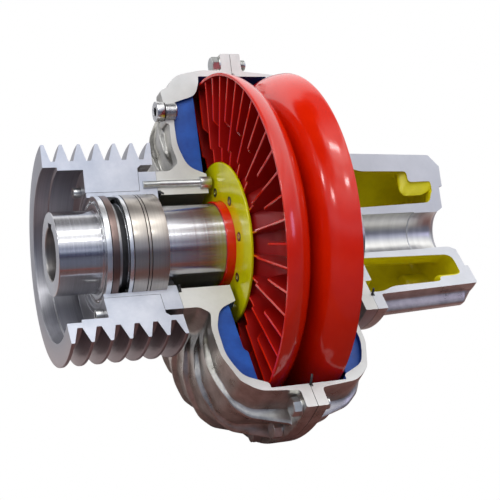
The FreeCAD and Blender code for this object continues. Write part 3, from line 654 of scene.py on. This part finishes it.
near_rib = both_sides([0.5, 0.8, 1.05, 1.3, 1.6, 1.9, 2.2, 2.6, 3.2])
near_plug = np.linspace(upper_cut, upper_cut + 11, 24)
shell_angles = kept_angles([rib_middles[:, None] + near_rib, near_plug,
                            np.arange(upper_cut, lower_cut + 1, 1.06), [lower_cut]], 4)

# Section of the front shell from its hub over the wall to the flange and back along the inside:
# plain wall, crest of a rib, and the filler plug's boss, point for point, in millimetres.
wall_lines = np.array([
    [(121, 83.5)] * 3,
    [(137, 83.5)] * 3,
    [(146.9, 92)] * 3,
    [(145.6, 99), (145.4, 98), (145.6, 99)],
    [(142.2, 111.5), (139.2, 108), (142.2, 111.5)],
    [(142.2, 133), (136.4, 133), (142.2, 136.4)],
    [(142.2, 138), (136.6, 139), (138, 137)],
    [(142.9, 148), (138.6, 150), (138, 150)],
    [(148.0, 163), (142.4, 164), (138, 163)],
    [(153, 178), (148.8, 177), (135.6, 174.3)],
    [(159, 183.5), (154.2, 187), (144.3, 177.5)],
    [(165, 188.6), (160.6, 192.8), (150.5, 186.5)],
    [(172.5, 192.6), (168.5, 199.4), (159, 192.3)],
    [(186, 194), (183, 203.6), (184.5, 197.5)],
    [(210.5, 196.5), (210.5, 211), (210.5, 197.5)],
    [(210.5, 217.2)] * 3,
    [(222.2, 217.2)] * 3,
    [(222.2, 190.4)] * 3,
    [(181.6, 190.4)] * 3,
    [(181.6, 184.4)] * 3,
    [(158, 173), (158, 173), (176.4, 168.5)],
    [(152, 159), (152, 159), (150.6, 160.5)],
    [(147.5, 144), (147.5, 144), (147.7, 138)],
    [(148.5, 112)] * 3,
    [(157.5, 88)] * 3,
    [(178.2, 79)] * 3]) / 1000
corner_ease = np.array([0.4, 4, 3, 5, 7, 2, 2, 5, 8, 6, 4, 4, 6, 6, 4, 2, 0.6, 0.5, 1.5, 3, 8, 3, 8,
                        8, 10, 1.5]) / 1000
oiled_bore = finish("oiled bore", (0.10, 0.10, 0.08), (0.15, 0.15, 0.125), roughness=(0.30, 0.42),
                    pattern=40, grain=(700, 4e-6), marks=skimmed, metallic=0.3)
hub_corners = {
    "front": [(178.2, 57.5), (124.3, 57.5), (124.3, 62.5), (121, 62.5)],
    "rear": [(178.2, 52.5), (127.5, 52.5), (127.5, 57.5), (110.5, 57.5), (110.5, 106),
             (125, 106), (125, 83.5)]}
skin, painted, faced, sawn, oiled = range(5)
side_paints = [skin] * 17 + [painted] * 8 + [faced]
rib_flat = 0.0016
rib_foot = 0.0054
boss_flat = 0.0185
boss_foot = 0.0235


def rise(distance, full, none):
    """Smooth weight of a cast form: 1 up to distance full, 0 beyond distance none."""
    t = np.clip((none - distance) / (none - full), 0, 1)
    return (t * t * (3 - 2 * t))[..., None]


def distance_from(angles, radius, middles):
    """Way round the axis from each angle to the nearest of the middles, in metres."""
    apart = np.abs((angles[:, None] - np.asarray(middles) + 180) % 360 - 180).min(-1)
    return np.radians(apart)[:, None] * radius


def cast_skin(name, plain, moved, angles, paints, paint_of_side, cut_paint):
    """Cast wall as a part turned grid: its plain outline P becomes P + sum of w (M - P) over
    other outlines M with weights w over (angle, outline point). Both cut ends are flat."""
    line = plain + 0 * angles[:, None, None]
    for other, weight in moved:
        line = line + weight * (other - plain)
    grid = lathed(line, angles)
    rows, columns = grid.shape[:2]
    paint = np.tile(np.repeat(paint_of_side, columns // len(paint_of_side)), rows - 1)
    return piece(name, grid, tube_faces(rows, columns, clockwise(plain)), paints,
                 np.append(paint, [cut_paint, cut_paint]), "casing", 30)


for side, hub in hub_corners.items():
    skip = side == "rear"
    ease = np.append(corner_ease[skip:], [0.0005] * len(hub))[:, None]
    plain, crest, boss = (eased(np.concatenate([wall_lines[skip:, k], np.array(hub) / 1000]),
                                ease, 6) for k in range(3))
    from_rib = distance_from(shell_angles, plain[:, 1], rib_middles)
    from_cut = distance_from(shell_angles, plain[:, 1], [upper_cut])
    forms = [(crest, rise(from_rib, rib_flat, rib_foot)),
             (boss, rise(from_cut, boss_flat, boss_foot))]
    if side == "rear":
        plain, crest = (line * (-1, 1) + (2 * circuit_middle, 0) for line in (plain, crest))
        forms = [(crest, rise(from_rib, rib_flat, rib_foot))]
    shell = cast_skin(side + "_shell", plain, forms, shell_angles,
                      [cast_aluminium, blue_paint, turned_aluminium, cut_casting, oiled_bore],
                      side_paints[skip:] + [oiled] + [faced] * (len(hub) - 2) + [skin], sawn)
    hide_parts(side + "_casing")


# Blades of the casing's two bladed halves: cast with the shells, radial and flat, painted blue;
# every second one has a lower inner edge. One lies right behind each cut.
blade_thickness = 0.0026


def radial_plates(name, outline, bevel, angles, paints, body, mirror):
    """Flat plates on radial planes. The outline (x, r) is drawn twice, one bevel further in on
    the two faces; each plate is turned to its angle about X. Its faces have the first paint,
    its edges the last."""
    line = np.array(outline)
    if clockwise(line):
        line = line[::-1]
    ahead = np.roll(line, -1, 0) - line
    ahead /= np.linalg.norm(ahead, axis=1, keepdims=True)
    normal = np.stack([-ahead[:, 1], ahead[:, 0]], -1)
    corner = normal + np.roll(normal, 1, 0)
    corner /= np.maximum(np.sum(corner * normal, 1, keepdims=True), 0.35)
    inset = line + corner * bevel
    half = blade_thickness / 2
    layers = [(inset, -half), (line, bevel - half), (line, half - bevel), (inset, half)]
    flat = np.concatenate([np.column_stack([at[:, 0], at[:, 1], np.full(len(at), off)])
                           for at, off in layers])
    if mirror:
        flat[:, 0] = 2 * circuit_middle - flat[:, 0]
    points = lathed(flat[:, :2], angles, flat[:, 2])
    count = len(line)
    faces = repeated(tube_faces(4, count, mirror), 4 * count, len(angles))
    paint = np.append(np.full(3 * count, len(paints) - 1), [0, 0])
    return piece(name, points, faces, paints, np.tile(paint, len(angles)), body, 25)


blade_root = [(0.175, 0.1828), (0.156, 0.1745), (0.146, 0.145), (0.147, 0.111), (0.156, 0.0865)]
blade_foot = (0.172, 0.0785)
blade_free = eased([blade_foot, (0.1752, 0.0795), (0.1752, 0.182)], 0.002)[4:8]
plain_blade = np.concatenate([[blade_foot], blade_free, blade_root])
stepped_blade = np.concatenate([[(0.171, 0.0785), (0.171, 0.135), (0.1721, 0.1377),
                                 (0.1741, 0.1393), (0.175, 0.142)], blade_root])
blade_angles = np.linspace(upper_cut + 2, lower_cut - 3, 22)
blade_bevel = 0.0006
for side_name, turned_over in (("front", False), ("rear", True)):
    for step_name, blade_line, group in (("plain", plain_blade, blade_angles[::2]),
                                         ("stepped", stepped_blade, blade_angles[1::2])):
        blades = radial_plates(f"{side_name}_{step_name}_pump_blades", blade_line, blade_bevel,
                               group, [blue_paint], "casing", turned_over)

# Double wheel. Two cast bowls back to back on one hub, turned smooth and sprayed glossy red, with
# flat radial blades inside: long ones that reach in behind the plate and short slanted ones.
red_paint = finish("red paint", (0.62, 0.010, 0.0), (0.70, 0.016, 0.0), roughness=(0.12, 0.16),
                   pattern=24, grain=(90, 4e-5), coat=0.2, contrast=(0.3, 0.7))
# Darker, rougher copy of the red: painted shade on the bowls' insides, the web and the blade faces.
painted_shade_red = finish("red with painted shade", (0.32, 0.002, 0.001), (0.42, 0.004, 0.002),
                    roughness=(0.34, 0.42), pattern=24, grain=(90, 1e-4), coat=0.08,
                    contrast=(0.3, 0.7))
bowl_middle = np.array((0.181, 0.1445))
bowl_outside = 0.039
bowl_inside = 0.0355
rim_plane = 0.1835
collar_start = 0.1752
collar_radius = 0.047
web_front = 0.1876
web_foot = 0.080
web_zone = np.array([(0.19, 0.08), (0.2166, 0.14)])


def arc_points(radius, start, stop, count):
    """Points of a bowl's section, angles in degrees from the bowl's bottom towards its rim."""
    a = np.radians(np.linspace(start, stop, count))
    return bowl_middle + radius * np.stack([np.cos(a), np.sin(a)], -1)


def bowl_section(with_collar):
    """Closed section of one wheel, in metres: hub, back web, bowl, rounded rim, inside."""
    rim = math.degrees(math.acos((rim_plane - bowl_middle[0]) / bowl_outside))
    outside = arc_points(bowl_outside, 0, rim - 1.2, 34)
    inside = arc_points(bowl_inside, rim - 1.4, -4, 34)
    lip = bowl_middle * (0, 1) + [(rim_plane - 0.0002, 0.0386), (rim_plane - 0.0005, 0.0371),
                                  (rim_plane - 0.0002, 0.0358)]
    collar = [(collar_start, seat_radius), (collar_start, collar_radius),
              (web_front, collar_radius)]
    hub = eased([(circuit_middle, 0.116), (circuit_middle, seat_radius)]
                + (collar if with_collar else [(web_front, seat_radius)])
                + [(web_front, web_foot), (0.2056, 0.098)], 0.0016, 4)
    web = np.array([(circuit_middle, 0.1165), (0.2221, 0.1185), (0.2215, 0.128), (0.2205, 0.138)])
    return np.concatenate([hub[4:-4], [(0.2054, 0.0974), (0.2105, 0.1045), (0.2152, 0.122)],
                           inside[::-1], lip[::-1], outside[::-1], web[::-1]])


def wheel(name, mirror):
    """One bowl as a full turned body of the section; the mirrored one has no collar."""
    line = bowl_section(not mirror)
    if clockwise(line) != mirror:
        line = line[::-1]
    side = (line + np.roll(line, -1, 0)) / 2
    from_middle = np.linalg.norm(side - bowl_middle, axis=1)
    # Sides in the bowl's hollow and in the web zone take the darker red, as painted shade.
    hollow = (from_middle < bowl_inside + 0.0002) & (side[:, 0] > rim_plane - 0.0001)
    hollow |= ((side > web_zone[0]) & (side < web_zone[1])).all(-1)
    if mirror:
        line = line * (-1, 1) + (2 * circuit_middle, 0)
    grid = lathed(line, np.linspace(0, 360, 289)[:-1])
    quads = ring_faces(*grid.shape[:2], True, True)
    paint = np.tile(hollow.astype(int), len(quads) // len(line))
    made = piece(name, grid, quads, [red_paint, painted_shade_red], paint, "rotor", 40)
    return made


front_wheel = wheel("front_wheel", False)
rear_wheel = wheel("rear_wheel", True)
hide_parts("front_runner")
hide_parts("rear_runner")
in_bowl = arc_points((bowl_outside + bowl_inside) / 2, 84, -5, 12)
in_web = [(0.2125, 0.106), (0.2070, 0.0965)]
plate_edge = 0.08885
vane_rim = (rim_plane, 0.180)
long_foot = (0.1886, 0.0795)
long_free = eased([in_web[1], long_foot, (long_foot[0], plate_edge + 0.0004),
                   (0.1865, plate_edge + 0.0006), (0.1865, 0.1043), (rim_plane, 0.1053),
                   vane_rim], 0.0012)[8:24]
long_blade = np.concatenate([in_bowl, in_web, [long_foot], long_free])
short_foot = (0.2165, 0.120)
short_free = eased([short_foot, (0.1895, 0.1275), (rim_plane, 0.1335), vane_rim], 0.0022)[4:12]
short_blade = np.concatenate([in_bowl[:-1], [short_foot], short_free])
vane_bevel = 0.0007
vane_step = 15
for side_name, turned_over in (("front", False), ("rear", True)):
    for kind, blade_line, first in (("long", long_blade, 0.5), ("short", short_blade, 8)):
        # Blade faces take the darker red as painted shade; their edges keep the plain red.
        vanes = radial_plates(f"{side_name}_{kind}_vanes", blade_line, vane_bevel,
                              np.arange(first, 360, vane_step), [painted_shade_red, red_paint],
                              "rotor", turned_over)

# Throttle plate. A turned steel disc on the front wheel's face, painted glossy yellow, held by
# eight countersunk screws that reach through to the rear wheel.
yellow_paint = finish("yellow paint", (0.62, 0.58, 0.001), (0.76, 0.72, 0.003),
                      roughness=(0.14, 0.20), pattern=30, grain=(70, 3e-4), coat=0.2)
plate_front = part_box("throttle_plate")[0].x
plate_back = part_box("throttle_plate")[1].x
plate_bore = 0.0471
disc = turned_piece("plate_disc", ring_line(plate_front, plate_back, plate_bore, plate_edge),
                    full_turn, [yellow_paint], 0, "rotor", 0.0009)
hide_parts("throttle_plate")
# Black: the chamber screws' colour, and painted shade in hexagon sockets and round countersunk
# heads.
black_and_socket_shade = finish("black and socket shade", (0.018, 0.018, 0.02), (0.07, 0.07, 0.075),
                     roughness=(0.22, 0.4), pattern=400, grain=(1500, 3e-5), metallic=0.6)
zinc_steel = finish("zinc steel", (0.56, 0.57, 0.55), (0.68, 0.69, 0.67), roughness=(0.30, 0.36),
                    pattern=160, grain=(900, 8e-7), metallic=1.0)
plug_steel = finish("plug steel", (0.58, 0.58, 0.58), (0.72, 0.72, 0.72), roughness=(0.24, 0.32),
                    pattern=160, grain=(1200, 6e-7), marks=skimmed, metallic=1.0)


def bars_on_circle(name, corners, angles, circle, paints, body, thread=None, sides=24, ease=0.0005):
    """Bolts, screws and plugs along X, at angles on a pitch circle. A corner is (x, radius), and
    may go on with 1 for a hexagon, then its paint; the first end faces -X, the last +X. A hexagon
    is r(t) = R cos 30 / cos(t - 60 k). thread = (corner before it, from, to, pitch, depth):
    there the radius waves as depth cos(2 pi x / pitch - t)."""
    corners = [(*corner, 0, 0)[:4] for corner in corners]
    steps = 3
    line = np.array([(corners[0][0], 0)] + [c[:2] for c in corners] + [(corners[-1][0], 0)])
    line = eased(line, ease, steps)[steps:-steps]
    hexed = np.repeat([c[2] for c in corners], steps).astype(float)
    paint = np.repeat([c[3] for c in corners], steps)
    wave = np.zeros(len(line))
    if thread:
        corner, start, stop, pitch, depth = thread
        at = (corner + 1) * steps
        run = np.arange(start, stop, pitch / 6)
        line = np.concatenate([line[:at], np.stack([run, 0 * run + corners[corner][1]], -1),
                               line[at:]])
        hexed = np.insert(hexed, at, 0 * run)
        paint = np.insert(paint, at, np.full(len(run), corners[corner][3]))
        wave = np.insert(wave, at, np.full(len(run), depth))
    t = np.radians(np.arange(sides) * 360 / sides)
    flat = math.cos(math.pi / 6) / np.cos(t - np.round(t / (math.pi / 3)) * math.pi / 3)
    radius = line[:, 1:] * (1 + hexed[:, None] * (flat - 1))
    if thread:
        radius = radius + wave[:, None] * np.cos(2 * math.pi * line[:, :1] / pitch - t)
    out = circle + radius * np.cos(t)
    ring = np.stack([line[:, :1] + 0 * out, out], -1).reshape(-1, 2)
    points = lathed(ring, angles, (-radius * np.sin(t)).ravel())
    faces = repeated(tube_faces(len(line), sides, True), len(ring), len(angles))
    marks = np.append(np.repeat(paint[:-1], sides), [paint[0], paint[-1]])
    return piece(name, points, faces, paints, np.tile(marks, len(angles)), body, 32)


# Each socket and a ring round each countersunk head are painted black as painted shade.
plate_screws = bars_on_circle(
    "plate_screws", [(plate_front + 0.0014, 0.0022, 1, 1), (plate_front - 0.0004, 0.0022, 1),
                     (plate_front - 0.0004, 0.0036, 0, 1), (plate_front - 0.0003, 0.0050, 0, 1),
                     (plate_front + 0.001, 0.0048, 0, 1), (0.246, 0.004)],
    16 + 45 * np.arange(8), circle=0.057, paints=[zinc_steel, black_and_socket_shade], body="rotor",
    ease=0.0002)
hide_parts("runner_screws")

# Fasteners of the casing. Zinc-plated hexagon bolts through the main flange, socket screws with
# a long plain shank in the hub, and small socket screws in the pulley's web.
bolt_angles = bolt_first + bolt_step * np.arange(13)
flange_bolt_set = bars_on_circle(
    "flange_bolt_set", [(0.2010, 0.0082), (0.2020, 0.0096, 1), (0.2089, 0.0096, 1),
                        (0.2089, 0.0098), (0.2105, 0.0098), (0.2105, 0.006), (0.2416, 0.006)],
    bolt_angles, circle=0.2065, paints=[zinc_steel], body="casing",
    thread=(5, 0.2352, 0.2402, 0.0015, 0.0004))
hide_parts("flange_bolts")
# The hub screws' hexagon sockets are painted black as painted shade.
hub_screws = bars_on_circle(
    "hub_screws", [(0.105, 0.004), (0.169, 0.004), (0.169, 0.0068), (0.1813, 0.0068),
                   (0.1813, 0.0035, 1, 1), (0.1765, 0.0035, 1, 1)],
    upper_cut + 45 * np.arange(5), circle=0.0693, paints=[zinc_steel, black_and_socket_shade], body="casing",
    thread=(0, 0.106, 0.124, 0.00125, 0.00025))
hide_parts("carrier_screws")
# The web screws' hexagon sockets are painted black as painted shade.
web_screws = bars_on_circle(
    "web_screws", [(0.0383, 0.003, 1, 1), (0.0343, 0.003, 1), (0.0343, 0.0058),
                   (web_start, 0.0058), (web_start, 0.004), (0.115, 0.004)],
    128 + 90 * np.arange(3), circle=0.0726, paints=[zinc_steel, black_and_socket_shade], body="casing")
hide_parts("pulley_screws")

# Filler plug. Bright steel plug with a round head and a hexagon socket, screwed whole into the
# boss at the upper cut on a black sealing ring.
plug_circle = 0.150
# Its hexagon socket is painted black as painted shade.
plug = bars_on_circle(
    "plug", [(0.1325, 0.0055, 1, 1), (0.1275, 0.0055, 1), (0.1275, 0.011), (0.136, 0.011),
             (0.136, 0.0091), (0.1507, 0.0091)],
    [upper_cut], plug_circle, [plug_steel, black_and_socket_shade], "casing",
    thread=(4, 0.1385, 0.1495, 0.0015, 0.0004), sides=36, ease=0.0008)
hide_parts("filler_plug")
washer = bars_on_circle(
    "plug_washer", [(0.1361, 0.0101), (0.1379, 0.0101)], [upper_cut], plug_circle,
    [seal_rubber], "casing", sides=36, ease=0.0006)
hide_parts("filler_plug_ring")


# Delay chamber. One aluminium casting bolted behind the rear shell: a ribbed barrel round a
# central tube, yellow inside with bosses at its end wall, bored and faced where it mates.
chamber_cast = finish("chamber casting", (0.44, 0.40, 0.375), (0.66, 0.62, 0.59),
                      roughness=(0.26, 0.42), pattern=60, grain=(800, 8e-5), metallic=0.85)
chamber_cut = finish("chamber cut", (0.60, 0.615, 0.64), (0.70, 0.715, 0.74),
                     roughness=(0.40, 0.55), pattern=16, grain=(900, 4e-5), metallic=0.2)
inside_yellow = finish("inside yellow", (0.70, 0.62, 0.003), (0.86, 0.78, 0.008),
                       roughness=(0.30, 0.45), pattern=30, grain=(300, 2e-4), coat=0.3)
smooth_bore = finish("smooth bore", (0.63, 0.625, 0.605), (0.73, 0.725, 0.70),
                     roughness=(0.34, 0.40), pattern=120, grain=(900, 8e-7), marks=turned,
                     metallic=1.0, brushed=0.3)
chamber_lines = np.array([
    [(334.8, 106)] * 3,
    [(346.8, 106)] * 3,
    [(346.8, 86), (346.8, 98), (346.8, 86)],
    [(459.5, 81.2), (459.5, 93.3), (459.5, 81.2)],
    [(470.7, 80.7), (471.2, 80.4), (470.7, 80.7)],
    [(472.5, 79.6)] * 3,
    [(472.5, 54.5)] * 3,
    [(468.3, 54.5)] * 3,
    [(468.3, 28.8)] * 3,
    [(460.5, 24.0)] * 3,
    [(430, 24.0)] * 3,
    [(429, 25.0)] * 3,
    [(334.5, 25.0)] * 3,
    [(334.5, 66)] * 3,
    [(342.5, 66)] * 3,
    [(342.5, 33)] * 3,
    [(452, 35.8)] * 3,
    [(458, 41)] * 3,
    [(458, 62), (458, 62), (458, 58)],
    [(458, 69), (458, 69), (457, 61.4)],
    [(453, 73.4), (453, 73.4), (450, 61.4)],
    [(432, 74.2), (432, 74.2), (428, 61.4)],
    [(426, 74.3), (426, 74.3), (426.6, 74.3)],
    [(364, 76.3)] * 3,
    [(352, 82.3)] * 3,
    [(334.8, 82.3)] * 3]) / 1000
chamber_ease = np.array([0.8, 0.8, 2.5, 2, 2, 1, 0.8, 0.8, 0.8, 3, 0.3, 0.3, 0.6, 0.6, 1.5, 3, 5,
                         5, 4, 4, 4, 4, 4, 8, 8, 0.6])[:, None] / 1000
skin, faced, inside, sawn, bored = range(5)
chamber_sides = [skin] * 5 + [faced] * 4 + [bored, sawn, bored, bored] + [inside] * 12 + [faced]
rib_pitch = 49
boss_pitch = 68
rib_places = upper_cut + rib_pitch * np.arange(5)
boss_places = upper_cut + boss_pitch * np.arange(4)
near_form = both_sides([1, 2, 2.5, 3, 3.6, 4.5, 6, 7.5, 9, 10, 11, 11.6, 12])
chamber_angles = kept_angles([boss_places[:, None] + near_form * 0.80,
                              rib_places[:, None] + near_form[3:-3],
                              np.arange(upper_cut, lower_cut + 1, 1.5), [lower_cut]], 3)
deep_boss = chamber_lines[:, 2].copy()
deep_boss[17:23] = np.array([(458, 55), (457, 54), (449, 52.5), (424, 53), (419.5, 62),
                             (419, 74.3)]) / 1000
plain, ribbed, bossed = (eased(chamber_lines[:, k], chamber_ease, 5) for k in range(3))
deepest = eased(deep_boss, chamber_ease, 5)
deep_boss_at = upper_cut + 9.5
form_flat = 0.003
boss_radius = 0.012
from_deep = distance_from(chamber_angles, plain[:, 1], [deep_boss_at])
from_rib = distance_from(chamber_angles, plain[:, 1], rib_places)
from_boss = distance_from(chamber_angles, plain[:, 1], boss_places)
round_boss = np.sqrt(np.clip(1 - (from_boss / boss_radius) ** 2, 0, 1))[..., None]
forms = [(ribbed, rise(from_rib, form_flat, 0.011)), (bossed, round_boss),
         (deepest, rise(from_deep, form_flat, 0.0115))]
chamber = cast_skin("chamber", plain, forms, chamber_angles,
                    [chamber_cast, turned_aluminium, inside_yellow, chamber_cut, smooth_bore],
                    chamber_sides, sawn)
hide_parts("delay_chamber")
chamber_screw_set = bars_on_circle(
    "chamber_screw_set", [(0.322, 0.004), (0.3468, 0.004), (0.3468, 0.0068), (0.3548, 0.0068),
                          (0.3548, 0.0035, 1), (0.3505, 0.0035, 1)],
    rib_places[:-1] + rib_pitch / 2, circle=0.097, paints=[black_and_socket_shade], body="casing")
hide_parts("chamber_screws")
